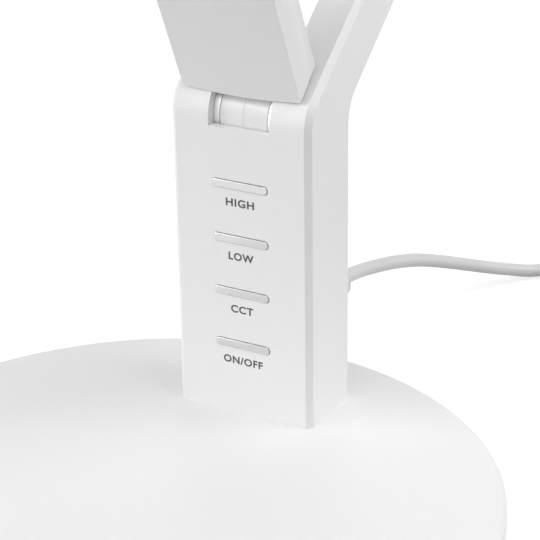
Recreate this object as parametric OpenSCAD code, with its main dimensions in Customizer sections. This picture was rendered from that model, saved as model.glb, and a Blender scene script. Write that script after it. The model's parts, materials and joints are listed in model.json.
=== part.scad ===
// Folding LED desk lamp: weighted round base, control column with a forked top, a low light bar
// hinged in the column, and a swing arm on the fork that carries a high light head.
// Millimetres. Origin: centre of the underside of the base. +Z up, front of the column toward -Y.

/* [Base] */
// Diameter of the round base
base_d = 216; // [200:1:260]
// Height of the top of the base above the desk
base_h = 20; // [18:0.5:30]
// Wall of the base cover
base_wall = 2.5; // [2:0.1:3]
// Rounding of the base cover's top edge
base_edge_r = 1.5; // [0.8:0.1:2]
// Thickness of the steel weight
weight_t = 6; // [4:0.5:8]
// Thickness of the anti-slip pad
pad_t = 2; // [1.5:0.1:3]
// Height by which the pad stands out below the cover's rim
pad_lift = 1; // [0.5:0.1:1.2]

/* [Column] */
// Width of the column and of the fork
column_w = 50; // [48:1:60]
// Depth of the column, front to back
column_d = 28; // [27:0.5:32]
// Distance of the column's middle behind the middle of the base
column_y = 69.5; // [55:0.5:75]
// Wall of the column housing
column_wall = 2.5; // [2:0.1:3]
// Bevel along the column's and fork's long edges
column_bevel = 1.9; // [1:0.1:2.2]
// Thickness of the column's back cover
cover_t = 2.5; // [2:0.1:3]
// Height of the low hinge above the base
low_hinge_h = 101; // [100:1:120]

/* [Fork] */
// Slope of the fork above the horizontal, degrees
fork_slope = 39; // [35:1:50]
// Thickness of the fork's prongs, front to back
fork_t = 21.6; // [21:0.2:24]
// Distance along the fork from the low hinge to the elbow hinge
fork_len = 80; // [70:1:100]
// Radius of the inner bend at the back of the fork
bend_r = 12; // [8:1:20]
// Width of the hinge slot between the prongs
slot_w = 22; // [20:0.5:24]

/* [Hinges] */
// Radius of the low hinge's barrel
low_barrel_r = 11; // [10:0.25:11.25]
// Radius of the elbow hinge's barrel
elbow_barrel_r = 9.5; // [8:0.25:10]
// Radius of the head hinge's barrel
head_barrel_r = 7.6; // [7:0.1:8]
// Radius of the hinge pins
pin_r = 2.5; // [2:0.25:3]
// Thickness of the hinge washers
washer_t = 2.1; // [1.5:0.1:2.5]
// Height of the low hinge above the sill of its slot
sill_drop = 2; // [1:0.5:3]

/* [Light bars and arm] */
// Width of the light bars and of the arm
limb_w = 42; // [38:1:48]
// Thickness of the light bars and of the arm
limb_t = 13.5; // [13:0.25:16]
// Depth of a front shell or diffuser
front_shell_t = 6.7; // [6:0.1:7]
// Wall of the shells
shell_wall = 2; // [1.5:0.1:2.2]
// Distance from a hinge to the near end of its light bar or arm
limb_start = 12; // [12:0.25:14]
// Bow of that end, middle to corner
end_bow = 1.4; // [0.8:0.1:2]
// Tilt of that end's bevel, degrees
end_bevel = 19.8; // [10:0.2:25]
// Corner rounding of the outlines
limb_corner_r = 2.5; // [1:0.1:4]
// Length of the low light bar from its hinge
low_len = 150; // [120:1:155]
// Forward lean of the low light bar at rest, degrees from vertical
low_lean = 23.7; // [23:0.1:30]
// Distance between the arm's two hinges
arm_len = 300; // [300:1:340]
// Forward lean of the arm at rest, degrees from vertical
arm_lean = 12; // [5:1:15]
// Length of the light head from its hinge
head_len = 200; // [150:1:200]
// Gap between the arm and the folded head
fold_gap = 1.5; // [1:0.1:3]

/* [Buttons] */
// Width of a button
button_w = 20; // [16:0.5:21]
// Height of a button
button_h = 2.7; // [2:0.1:4]
// Distance by which the buttons stand out of the column
button_proud = 0.4; // [0.2:0.1:0.8]
// Clearance round a button
button_gap = 0.15; // [0.1:0.05:0.3]
// Spacing of the buttons
button_pitch = 18.5; // [16:0.5:19]
// Height of the lowest button above the base
button_low_h = 25; // [24:0.5:26]
// Travel of a button
button_travel = 0.5; // [0.3:0.1:0.6]

/* [Cord] */
// Diameter of the mains cord
cord_d = 5.1; // [4.6:0.1:5.2]
// Diameter of the strain relief at its tip
gland_tip_d = 10.4; // [9:0.1:11]
// Spacing of the coil's turns and layers
coil_pitch = 5.7; // [5.6:0.1:6.2]
// Turns in each of the coil's two layers
coil_turns = 4; // [2:1:6]
// Mean diameter of the coil
coil_mean_d = 61; // [56:1:66]

/* [Hidden] */
$fn = 64;

// Colours
WHITE = [0.93, 0.93, 0.92];
OFF_WHITE = [0.88, 0.88, 0.87];
OPAL = [0.9, 0.9, 0.88];
STEEL = [0.62, 0.63, 0.65];
DARK = [0.25, 0.25, 0.26];
BOARD = [0.15, 0.42, 0.25];

// Clearances
cut = 1;
slide_gap = 0.15;
running_gap = 0.05;
washer_gap = 0.1;
barrel_gap = 0.4;
seam_step = 0.15;

// Column and fork places
front_y = column_y - column_d / 2;
back_y = column_y + column_d / 2;
shoulder_r = column_d / 2;
low_hinge = [column_y, base_h + low_hinge_h];
bend_turn = 90 - fork_slope;
fork_along = [cos(fork_slope), sin(fork_slope)];
fork_up = [-sin(fork_slope), cos(fork_slope)];
fork_front = shoulder_r;
fork_back = shoulder_r - fork_t;
prong_r = fork_t / 2;
end_proud = 0.03;
elbow_hinge = low_hinge + fork_len * fork_along + (shoulder_r - prong_r) * fork_up;
// Middle of the bend at the back, measured from the low hinge
bend_y = shoulder_r + bend_r;
bend_z = (fork_back - bend_r + sin(fork_slope) * bend_y) / cos(fork_slope);
bend_mid = low_hinge + [bend_y, bend_z];
bend_steps = 8;
slot_half = slot_w / 2;
web_t = 2;
sill_z = low_hinge[1] - sill_drop;
crotch = low_barrel_r + barrel_gap + 3.4;
cavity_half = column_w / 2 - column_wall;
floor_t = 3;
floor_z = base_h + floor_t;
pin_half = slot_half + 6;
pin_boss_r = pin_r + 3;
far = 400;

// Limb places
limb_front = limb_t / 2 + 0.5;
end_arc_r = (limb_w * limb_w / 4 + end_bow * end_bow) / (2 * end_bow);
neck_half = slot_half - washer_t - 2 * washer_gap;
neck_front = 3.75;
neck_thick = 7.5;
tongue_t = 4.5;
tongue_start = limb_start + 6;
neck_len = limb_start + 22;
neck_screw_a = neck_len - 6;
ear_r = head_barrel_r + 0.6;
ear_reach = limb_start - 1;
head_offset = fold_gap / 2;
head_hinge_t = limb_front + head_offset;
arm_top = arm_len + ear_r;
head_hinge = elbow_hinge + arm_len * [-sin(arm_lean), cos(arm_lean)]
    - head_hinge_t * [cos(arm_lean), sin(arm_lean)];
head_lean = 90;

// Button, switch and board places
button_z = [for (i = [3:-1:0]) base_h + button_low_h + i * button_pitch];
inner_y = front_y + column_wall;
flange_t = 1;
flange_gap = 0.05;
flange_extra = 1.1;
stem_w = 3;
stem_end_y = inner_y + flange_gap + flange_t + 1.2;
plunger_r = 1.7;
plunger_len = 2.2;
plunger_out = 0.8;
switch_w = 6;
switch_t = 3.5;
switch_y = stem_end_y + plunger_out;
board_y = switch_y + switch_t;
board_t = 1.6;
board_w = 28;
board_z0 = button_z[3] - 8;
board_z1 = button_z[0] + 5;
board_screw_x = 11;
board_screw_z = [(button_z[3] + button_z[2]) / 2, (button_z[1] + button_z[0]) / 2];
driver_h = 50;
driver_y = back_y - cover_t - 2 - board_t;
cover_screw_x = 18.5;
cover_screw_z = [floor_z + 5, base_h + low_hinge_h - low_barrel_r - 5];

// Screws
base_screw_r = 1.5;
base_screw_head_r = 4;
base_sink = 3;
base_screw_len = 9;
base_boss_r = 4;
weight_top = pad_t + weight_t;
column_screw_r = 1.25;
column_boss_r = 3.2;
column_boss_h = 11;
cover_screw_r = 1.05;
cover_screw_head_r = 2.3;
cover_sink = 1.5;
cover_boss_r = 3.2;
board_screw_r = 0.85;
board_boss_r = 2.4;
neck_screw_r = 1.1;

// Strain relief, light and plug details
gland_neck_r = 4.5;
gland_root_r = 6;
gland_core_r = 4.2;
gland_ribs = 5;
led_board_w = 32;
led_board_depth = 7.6;
led_pitch = 10;
limb_back_r = 1.5;
straight_root = [neck_front - limb_front, neck_front + neck_thick - limb_front];
offset_root = [-1, 5];
arm_hollow_end = arm_len - ear_reach - 1;
cover_reach = fork_len + pin_r + 2;
plug_t = 13.6;
plug_w = 35.3;
plug_len = 34;
plug_boot_r = 4.5;
plug_boot_len = 10;
plug_pin_r = 2;
plug_pin_spacing = 18.6;
plug_pin_len = 19;

// Cord route, points chosen by hand: x, y, height above the desk
ROUTE = [
    [0, 123, 41], [0, 128, 41], [0, 138, 39.4], [0.5, 150, 36.8], [2, 165, 33.3], [4.5, 180, 29],
    [8, 195, 23.4], [12, 210, 17.2], [17, 225, 11], [21, 236, 6.8], [25, 244, 4], [29, 251, 2.7],
    [34, 260, 2.6], [38, 269, 3.2], [40, 277, 3.8], [40, 283, 3.8]
];
// Tail from the coil to the plug, measured from the coil's upper end
TAIL = [
    [0, 0, 0], [0, 6, 0], [1, 16, -0.6], [3, 26, -1.8], [5, 35, -2.4], [6, 43, -2.5], [6, 49, -2.5]
];
cord_sides = 8;
coil_sides = 6;
coil_rings = 24;
tie_t = 0.9;
tie_gap = 0.3;
tie_inner_gap = 0.8;
tie_w = 8;
gland_tip = ROUTE[0];
driver_z0 = gland_tip[2] + 10;
coil_start = ROUTE[len(ROUTE) - 1];
coil_out_r = coil_mean_d / 2 + coil_turns * coil_pitch / 2;
coil_in_r = coil_mean_d / 2 - coil_turns * coil_pitch / 2;
coil_mid = coil_start + [coil_out_r, cord_d, 0];
tail_start = coil_mid + [-coil_out_r, cord_d, coil_pitch];
plug_entry = tail_start + TAIL[len(TAIL) - 1];

// Functions
function unit(v) = v / norm(v);
function bend_dir(i) = let (a = bend_turn * i / bend_steps) [-cos(a), sin(a)];
function in_fork(along, up) = low_hinge + along * fork_along + up * fork_up;
// Points of the front and back outlines of column and fork, moved inward by inset
function front_line(inset, z0, reach) = concat(
    [[front_y + inset, z0]],
    [for (i = [0:bend_steps]) low_hinge + (shoulder_r - inset) * bend_dir(i)],
    [in_fork(reach, fork_front - inset)]
);
function back_line(inset, z0, reach) = concat(
    [[back_y - inset, z0]],
    [for (i = [0:bend_steps]) bend_mid + (bend_r + inset) * bend_dir(i)],
    [in_fork(reach, fork_back + inset)]
);
// Closed section at station k between four outlines, with bevelled corners where bevel is not 0
function section(lines, k, half, bevel) = bevel == 0
    ? [for (p = [[-half, 0], [half, 0], [half, 3], [-half, 3]]) [p[0], lines[p[1]][k][0], lines[p[1]][k][1]]]
    : [for (p = [
        [bevel - half, 0], [half - bevel, 0], [half, 1], [half, 2],
        [half - bevel, 3], [bevel - half, 3], [-half, 2], [-half, 1]
    ]) [p[0], lines[p[1]][k][0], lines[p[1]][k][1]]];
// Direction of a tube at point i of its centre line
function heading(path, i) = unit(path[min(i + 1, len(path) - 1)] - path[max(i - 1, 0)]);
function tube_ring(path, i, r, sides) =
    let (t = heading(path, i), side = unit(cross(t, [0, 0, 1])), up = cross(side, t))
    [for (j = [0:sides - 1]) path[i] + r * (cos(360 * j / sides) * side + sin(360 * j / sides) * up)];
// Coil: spirals inward in the lower layer, climbs while it turns back, spirals outward in the upper
function coil_r(turn) = turn <= coil_turns
    ? coil_out_r - coil_pitch * turn
    : coil_in_r + coil_pitch * (turn - coil_turns);
function coil_rise(turn) = coil_pitch * min(1, max(0, 2 * (turn - coil_turns) + 0.5));
function coil_point(turn) =
    coil_mid + [-coil_r(turn) * cos(360 * turn), coil_r(turn) * sin(360 * turn), coil_rise(turn)];
coil_path = concat(
    [coil_start],
    [for (i = [0:2 * coil_turns * coil_rings]) coil_point(i / coil_rings)],
    [tail_start]
);
// Least gap of the coil to itself, over points at least half a turn apart
coil_gap = min([
    for (i = [0:len(coil_path) - 1]) for (j = [i + coil_rings / 2:1:len(coil_path) - 1])
        norm(coil_path[i] - coil_path[j])
]) - cord_d;
echo(coil_gap = coil_gap);

// Shared shapes
module side_profile(half) {
    rotate([90, 0, 90])
        linear_extrude(2 * half, center = true) children();
}
module front_profile(y0, y1) {
    translate([0, y1, 0])
        rotate([90, 0, 0])
            linear_extrude(y1 - y0) children();
}
module x_cylinder(r, x0, x1) {
    translate([x0, 0, 0])
        rotate([0, 90, 0])
            cylinder(r = r, h = x1 - x0);
}
module y_cylinder(r, y0, y1) {
    translate([0, y0, 0])
        rotate([-90, 0, 0])
            cylinder(r = r, h = y1 - y0);
}
module both_sides() {
    children();
    mirror([1, 0, 0]) children();
}
module rounded_square(w, h, r) {
    square([w - 2 * r, h], center = true);
    square([w, h - 2 * r], center = true);
    for (x = [-1, 1]) for (y = [-1, 1])
        translate([x * (w / 2 - r), y * (h / 2 - r)]) circle(r);
}
module stadium(w, h) {
    square([w - h, h], center = true);
    for (x = [-1, 1])
        translate([x * (w - h) / 2, 0]) circle(h / 2);
}
module screw(shank_r, shank_len, head_r, head_h) {
    cylinder(r = shank_r, h = shank_len);
    translate([0, 0, -head_h])
        cylinder(r = head_r, h = head_h);
}
module swept(lines, half, bevel) {
    stations = len(lines[0]);
    n = bevel == 0 ? 4 : 8;
    polyhedron(
        points = [for (k = [0:stations - 1]) each section(lines, k, half, bevel)],
        faces = concat(
            [[for (j = [0:n - 1]) j]],
            [for (k = [0:stations - 2]) for (j = [0:n - 1]) let (a = k * n + j, b = k * n + (j + 1) % n)
                each [[a, a + n, b + n], [a, b + n, b]]],
            [[for (j = [n - 1:-1:0]) (stations - 1) * n + j]]
        )
    );
}
module tube(path, r, sides) {
    rings = len(path);
    polyhedron(
        points = [for (i = [0:rings - 1]) each tube_ring(path, i, r, sides)],
        faces = concat(
            [for (j = [1:sides - 2]) [0, j + 1, j]],
            [for (i = [0:rings - 2]) for (j = [0:sides - 1])
                let (a = i * sides + j, b = i * sides + (j + 1) % sides)
                each [[a, b, b + sides], [a, b + sides, a + sides]]],
            [for (j = [1:sides - 2]) let (e = (rings - 1) * sides) [e, e + j, e + j + 1]]
        )
    );
}
module at_hinge(hinge, lean) {
    translate([0, hinge[0], hinge[1]])
        rotate([lean, 0, 0]) children();
}

// Base
module base_cover() {
    r = base_d / 2;
    color(WHITE) difference() {
        union() {
            difference() {
                rotate_extrude($fn = 128) {
                    translate([0, pad_lift]) square([r, base_h - pad_lift - base_edge_r]);
                    translate([0, pad_lift]) square([r - base_edge_r, base_h - pad_lift]);
                    translate([r - base_edge_r, base_h - base_edge_r]) circle(base_edge_r);
                }
                translate([0, 0, -cut])
                    cylinder(r = r - base_wall, h = base_h - base_wall + cut, $fn = 128);
            }
            base_screw_places()
                translate([0, 0, weight_top])
                    cylinder(r = base_boss_r, h = base_h - base_wall - weight_top + cut / 2);
        }
        base_screw_places()
            translate([0, 0, weight_top - cut])
                cylinder(r = base_screw_r + running_gap, h = base_screw_len);
        column_screw_places()
            translate([0, 0, base_h - base_wall - cut])
                cylinder(r = column_screw_r + slide_gap, h = base_wall + 2 * cut);
    }
}
module base_weight() {
    color(STEEL) difference() {
        translate([0, 0, pad_t])
            cylinder(r = base_d / 2 - base_wall - 3, h = weight_t, $fn = 128);
        base_screw_places() {
            translate([0, 0, pad_t - cut])
                cylinder(r = base_screw_r + slide_gap, h = weight_t + 2 * cut);
            translate([0, 0, pad_t - cut])
                cylinder(r = base_screw_head_r + slide_gap, h = base_sink + cut);
        }
    }
}
module base_pad() {
    color(DARK)
        cylinder(r = base_d / 2 - base_wall - 0.3, h = pad_t, $fn = 128);
}
module base_screws() {
    color(STEEL) base_screw_places()
        translate([0, 0, pad_t + base_sink])
            screw(base_screw_r, weight_t - base_sink + 7, base_screw_head_r, base_sink - 0.4);
}
module base_screw_places() {
    for (a = [45:90:315])
        rotate(a) translate([base_d * 0.36, 0, 0]) children();
}

// Column
module slot_profile(grow) {
    translate(low_hinge) circle(low_barrel_r + barrel_gap + grow);
    translate([front_y - 5, sill_z - grow]) square([shoulder_r + 5, 2 * shoulder_r + grow]);
    translate(low_hinge) rotate(fork_slope) {
        square([far, far]);
        translate([crotch - grow, -2 * fork_t]) square([far, 3 * fork_t]);
    }
}
module column_outer() {
    swept([
        front_line(0, base_h, fork_len), front_line(column_bevel, base_h, fork_len),
        back_line(column_bevel, base_h, fork_len), back_line(0, base_h, fork_len)
    ], column_w / 2, column_bevel);
    at_hinge(elbow_hinge, 0) rotate([0, 90, 0]) rotate_extrude() prong_end_profile();
}
// Round end of the fork, a hair thicker than the prongs so that the two surfaces cross
module prong_end_profile() {
    r = prong_r + end_proud;
    polygon([
        [0, -column_w / 2], [r - column_bevel, -column_w / 2], [r, column_bevel - column_w / 2],
        [r, column_w / 2 - column_bevel], [r - column_bevel, column_w / 2], [0, column_w / 2]
    ]);
}
module cover_slab(gap, out) {
    swept([
        back_line(cover_t, floor_z + gap, cover_reach - gap), back_line(cover_t, floor_z + gap, cover_reach - gap),
        back_line(-out, floor_z + gap, cover_reach - gap), back_line(-out, floor_z + gap, cover_reach - gap)
    ], cavity_half - gap, 0);
}
module column_cavity() {
    reach = fork_len - pin_boss_r;
    swept([
        front_line(column_wall, floor_z, reach), front_line(column_wall, floor_z, reach),
        back_line(cover_t, floor_z, reach), back_line(cover_t, floor_z, reach)
    ], cavity_half, 0);
}
// Blocks that carry the low pin beside the slot
module pin_blocks() {
    side_profile(pin_half + web_t) {
        translate(low_hinge) circle(pin_boss_r);
        translate([front_y + cut, low_hinge[1] - pin_boss_r]) square([shoulder_r - cut, 2 * pin_boss_r]);
    }
}
module pin_seat(hinge, open_angle) {
    at_hinge(hinge, open_angle) {
        x_cylinder(pin_r + running_gap, -pin_half, pin_half);
        translate([-pin_half, 0, -pin_r - running_gap])
            cube([2 * pin_half, prong_r + 5, 2 * (pin_r + running_gap)]);
    }
}
module column_bosses() {
    for (x = [-1, 1]) {
        for (z = cover_screw_z)
            translate([x * cover_screw_x, 0, z]) y_cylinder(cover_boss_r, front_y + cut, back_y - cover_t);
        for (z = board_screw_z)
            translate([x * board_screw_x, 0, z]) y_cylinder(board_boss_r, front_y + cut, board_y);
    }
    column_screw_places()
        translate([0, 0, base_h + cut])
            cylinder(r = column_boss_r, h = column_boss_h - cut);
}
module column_screw_places() {
    for (x = [-10, 10]) for (y = [-6, 6])
        translate([x, column_y + y, 0]) children();
}
module column_housing() {
    color(WHITE) difference() {
        column_outer();
        difference() {
            column_cavity();
            side_profile(slot_half + web_t) slot_profile(web_t);
            pin_blocks();
            column_bosses();
        }
        cover_slab(0, cut);
        side_profile(slot_half) {
            slot_profile(0);
            translate([column_y, low_hinge[1] - shoulder_r / 2]) square([column_d, shoulder_r]);
        }
        pin_seat(low_hinge, 0);
        pin_seat(elbow_hinge, fork_slope - 90);
        for (z = button_z)
            translate([0, 0, z]) front_profile(front_y - cut, inner_y + cut)
                stadium(button_w + 2 * button_gap, button_h + 2 * button_gap);
        for (x = [-1, 1]) {
            for (z = cover_screw_z)
                translate([x * cover_screw_x, 0, z])
                    y_cylinder(cover_screw_r + running_gap, back_y - cover_t - 9, back_y);
            for (z = board_screw_z)
                translate([x * board_screw_x, 0, z])
                    y_cylinder(board_screw_r + running_gap, board_y - 5, board_y + cut);
        }
        column_screw_places()
            translate([0, 0, base_h - cut])
                cylinder(r = column_screw_r + running_gap, h = column_boss_h);
    }
}
module column_cover() {
    color(WHITE) difference() {
        union() {
            intersection() {
                column_outer();
                cover_slab(slide_gap, cut);
            }
            pin_keepers();
            driver_standoffs();
        }
        side_profile(slot_half) slot_profile(0);
        translate([0, 0, gland_tip[2]])
            y_cylinder(gland_neck_r + running_gap, column_y, back_y + cut);
        for (x = [-1, 1]) for (z = cover_screw_z)
            translate([x * cover_screw_x, 0, z]) {
                y_cylinder(cover_screw_r + slide_gap, column_y, back_y + cut);
                y_cylinder(cover_screw_head_r + slide_gap, back_y - cover_sink, back_y + cut);
            }
    }
}
// Ribs on the cover that hold the low and elbow pins in their seats
module pin_keepers() {
    rib_x = slot_half + web_t + slide_gap;
    rib_w = pin_half - rib_x - slide_gap;
    rib_h = 2 * pin_r - 2 * slide_gap;
    rib_y = pin_r + running_gap;
    both_sides() {
        at_hinge(low_hinge, 0)
            translate([rib_x, rib_y, -rib_h / 2])
                cube([rib_w, shoulder_r - cover_t - rib_y + cut, rib_h]);
        at_hinge(elbow_hinge, fork_slope - 90)
            translate([rib_x, rib_y, -rib_h / 2])
                cube([rib_w, prong_r - cover_t - rib_y + cut, rib_h]);
    }
}
module driver_standoffs() {
    for (x = [-1, 1]) for (z = [5, driver_h - 5])
        translate([x * (board_w / 2 - 4), 0, driver_z0 + z])
            y_cylinder(2.5, driver_y + board_t, back_y - cover_t + cut);
}
module column_screws() {
    color(STEEL) column_screw_places()
        translate([0, 0, base_h - base_wall])
            screw(column_screw_r, base_wall + column_boss_h - 2, 2.8, 2);
}
module cover_screws() {
    color(STEEL) for (x = [-1, 1]) for (z = cover_screw_z)
        translate([x * cover_screw_x, back_y - cover_sink, z])
            rotate([90, 0, 0]) screw(cover_screw_r, 9, cover_screw_head_r, cover_sink - 0.1);
}

// Controls
module button_cap(i) {
    color(OFF_WHITE) translate([0, 0, button_z[i]]) {
        front_profile(front_y - button_proud, inner_y + flange_gap + flange_t)
            stadium(button_w, button_h);
        front_profile(inner_y + flange_gap, inner_y + flange_gap + flange_t)
            stadium(button_w + 2 * flange_extra, button_h + 2 * flange_extra);
        translate([-stem_w / 2, inner_y + flange_gap, -stem_w / 2])
            cube([stem_w, stem_end_y - inner_y - flange_gap, stem_w]);
    }
}
module button_high() button_cap(0);
module button_low() button_cap(1);
module button_cct() button_cap(2);
module button_power() button_cap(3);
module plunger(i) {
    color(DARK) translate([0, 0, button_z[i]])
        y_cylinder(plunger_r, stem_end_y, stem_end_y + plunger_len);
}
module plunger_high() plunger(0);
module plunger_low() plunger(1);
module plunger_cct() plunger(2);
module plunger_power() plunger(3);
module tact_switches() {
    color(STEEL) for (z = button_z)
        translate([0, 0, z]) difference() {
            translate([-switch_w / 2, switch_y, -switch_w / 2])
                cube([switch_w, switch_t, switch_w]);
            y_cylinder(plunger_r + running_gap, switch_y - cut, stem_end_y + plunger_len + button_travel + 0.2);
        }
}
module control_board() {
    color(BOARD) difference() {
        translate([-board_w / 2, board_y, board_z0])
            cube([board_w, board_t, board_z1 - board_z0]);
        for (x = [-1, 1]) for (z = board_screw_z)
            translate([x * board_screw_x, 0, z])
                y_cylinder(board_screw_r + slide_gap, board_y - cut, board_y + board_t + cut);
    }
}
module board_screws() {
    color(STEEL) for (x = [-1, 1]) for (z = board_screw_z)
        translate([x * board_screw_x, board_y + board_t, z])
            rotate([90, 0, 0]) screw(board_screw_r, board_t + 4, 1.8, 1.2);
}
module driver_board() {
    color(BOARD) {
        translate([-board_w / 2, driver_y, driver_z0])
            cube([board_w, board_t, driver_h]);
        translate([-9, driver_y - 8.5, driver_z0 + 20])
            cube([18, 8.5 + board_t / 2, 16]);
        for (x = [-6, 6])
            translate([x, 0, driver_z0 + 10]) y_cylinder(4, driver_y - 8.5, driver_y + board_t / 2);
        translate([-8, driver_y - 7, driver_z0 + 41])
            cube([16, 7 + board_t / 2, 7]);
    }
}
module cable_gland() {
    color(OFF_WHITE) translate([0, 0, gland_tip[2]]) {
        rotate([-90, 0, 0]) rotate_extrude() polygon(concat(
            [[0, back_y - cover_t - 2.5], [6.5, back_y - cover_t - 2.5], [6.5, back_y - cover_t]],
            [[gland_neck_r, back_y - cover_t], [gland_neck_r, back_y], [gland_root_r, back_y]],
            [[gland_root_r, back_y + 3]],
            [for (i = [0:gland_ribs - 1]) each gland_rib(i)],
            [[gland_tip_d / 2, gland_tip[1] - 4], [gland_tip_d / 2, gland_tip[1]], [0, gland_tip[1]]]
        ));
    }
}
// Groove i of the strain relief, as four outline points
function gland_rib(i) =
    let (
        start = back_y + 3,
        step = (gland_tip[1] - 4 - start) / gland_ribs,
        y = start + i * step,
        r = gland_root_r + (gland_tip_d / 2 - gland_root_r) * (i + 1) / gland_ribs
    )
    [[gland_core_r, y], [gland_core_r, y + step / 2], [r, y + step / 2], [r, y + step]];

// Hinges
module hinge_pin() {
    color(STEEL) x_cylinder(pin_r, slide_gap - pin_half, pin_half - slide_gap);
}
module hinge_washers(barrel_r) {
    color(STEEL) both_sides() difference() {
        x_cylinder(barrel_r - 0.2, neck_half + washer_gap, slot_half - washer_gap);
        x_cylinder(pin_r + running_gap, 0, slot_half + cut);
    }
}
// Right half of a barrel with its neck; root gives the neck's front and back at the hinge
module knuckle_half(barrel_r, front_t, root) {
    neck_t = front_t + neck_front;
    tongue_back = neck_t + tongue_t;
    neck_back = neck_t + neck_thick;
    edge = 0.4;
    color(WHITE) difference() {
        union() {
            rotate([0, 90, 0]) rotate_extrude() polygon([
                [0, 0], [barrel_r - edge, 0], [barrel_r, edge],
                [barrel_r, neck_half - edge], [barrel_r - edge, neck_half], [0, neck_half]
            ]);
            translate([neck_half / 2, 0, 0]) side_profile(neck_half / 2) polygon([
                [root[0], 0], [neck_t, limb_start - 1], [neck_t, neck_len], [tongue_back, neck_len],
                [tongue_back, tongue_start], [neck_back, tongue_start], [neck_back, limb_start - 1], [root[1], 0]
            ]);
        }
        x_cylinder(pin_r + running_gap, -cut, neck_half + cut);
        translate([neck_half / 2, 0, neck_screw_a])
            y_cylinder(neck_screw_r + slide_gap, neck_t - cut, tongue_back + cut);
    }
}
module neck_screws(front_t) {
    color(STEEL) for (x = [-1, 1])
        translate([x * neck_half / 2, front_t + neck_front, neck_screw_a])
            rotate([-90, 0, 0]) screw(neck_screw_r, limb_t - shell_wall - neck_front - slide_gap, 2.2, 1.4);
}

// Light bars and arm, each standing on its hinge with its front toward -Y
module limb_form(front_t, length, inset) {
    w = limb_w - 2 * inset;
    start = limb_start + inset;
    intersection() {
        translate([0, 0, limb_start]) linear_extrude(length - limb_start)
            limb_section(front_t, inset);
        front_profile(front_t + inset, front_t + limb_t - inset)
            translate([0, (start + length - inset) / 2])
                rounded_square(w, length - inset - start, limb_corner_r);
        translate([0, front_t, limb_start]) rotate([end_bevel, 0, 0]) {
            translate([0, 0, end_arc_r])
                y_cylinder(end_arc_r - inset, -far, far);
            translate([-limb_w, -far, end_arc_r])
                cube([2 * limb_w, 2 * far, 2 * far]);
        }
    }
}
// Cross-section of a limb with its two rear corners rounded
module limb_section(front_t, inset) {
    w = limb_w - 2 * inset;
    t = limb_t - 2 * inset;
    translate([0, front_t + limb_t / 2]) {
        rounded_square(w, t, limb_back_r);
        translate([-w / 2, -t / 2]) square([w, t / 2]);
    }
}
module front_shell(front_t, length, hollow_end) {
    difference() {
        intersection() {
            limb_form(front_t, length, 0);
            translate([-limb_w, front_t - cut, 0]) cube([2 * limb_w, front_shell_t + cut, length]);
        }
        limb_form(front_t, hollow_end, shell_wall);
        neck_opening(front_t);
    }
}
module back_shell(front_t, length, hollow_end) {
    w = limb_w - 2 * seam_step;
    difference() {
        intersection() {
            limb_form(front_t, length, 0);
            translate([-w / 2, front_t + front_shell_t, 0]) cube([w, limb_t, length]);
        }
        limb_form(front_t, hollow_end, shell_wall);
        neck_opening(front_t);
    }
    // Seat of the neck's tongue
    seat = front_t + neck_front + tongue_t + running_gap;
    difference() {
        translate([-neck_half, seat, tongue_start + 1])
            cube([2 * neck_half, front_t + limb_t - shell_wall / 2 - seat, neck_len - tongue_start - 1]);
        for (x = [-1, 1])
            translate([x * neck_half / 2, 0, neck_screw_a])
                y_cylinder(neck_screw_r + running_gap, front_t, front_t + limb_t - shell_wall / 2);
    }
}
module neck_opening(front_t) {
    translate([-neck_half - 0.1, front_t + neck_front - 0.1, 0])
        cube([2 * neck_half + 0.2, neck_thick + 0.2, limb_start + 6]);
}
module led_board(front_t, length) {
    z0 = neck_len + 3;
    board = length - shell_wall - 2 - z0;
    rows = floor((board - 8) / led_pitch);
    color(BOARD) translate([-led_board_w / 2, front_t + led_board_depth, z0])
        cube([led_board_w, board_t, board]);
    color("gold") for (x = [-7, 7]) for (i = [0:rows])
        translate([x - 1.4, front_t + led_board_depth - 0.7, z0 + 4 + i * led_pitch])
            cube([2.8, 0.7 + board_t / 2, 3.5]);
}
// Ribs of a light bar's housing behind its board
module board_ribs(front_t, length) {
    z0 = neck_len + 6;
    for (x = [-12, 12])
        translate([x - 0.75, front_t + led_board_depth + board_t, z0])
            cube([1.5, limb_t - shell_wall / 2 - led_board_depth - board_t, length - shell_wall - 6 - z0]);
}

// Low hinge and low light bar
module at_low() at_hinge(low_hinge, low_lean) children();
module low_pin() at_hinge(low_hinge, 0) hinge_pin();
module low_washers() at_hinge(low_hinge, 0) hinge_washers(low_barrel_r);
module low_knuckle_right() at_low() knuckle_half(low_barrel_r, -limb_front, straight_root);
module low_knuckle_left() at_low() mirror([1, 0, 0]) knuckle_half(low_barrel_r, -limb_front, straight_root);
module low_neck_screws() at_low() neck_screws(-limb_front);
module low_diffuser() color(OPAL) at_low() front_shell(-limb_front, low_len, low_len);
module low_housing() color(WHITE) at_low() {
    back_shell(-limb_front, low_len, low_len);
    board_ribs(-limb_front, low_len);
}
module low_led_board() at_low() led_board(-limb_front, low_len);

// Elbow hinge and arm
module at_elbow() at_hinge(elbow_hinge, arm_lean) children();
module elbow_pin() at_hinge(elbow_hinge, 0) hinge_pin();
module elbow_washers() at_hinge(elbow_hinge, 0) hinge_washers(elbow_barrel_r);
module arm_knuckle_right() at_elbow() knuckle_half(elbow_barrel_r, -limb_front, straight_root);
module arm_knuckle_left() at_elbow() mirror([1, 0, 0]) knuckle_half(elbow_barrel_r, -limb_front, straight_root);
module arm_neck_screws() at_elbow() neck_screws(-limb_front);
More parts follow.
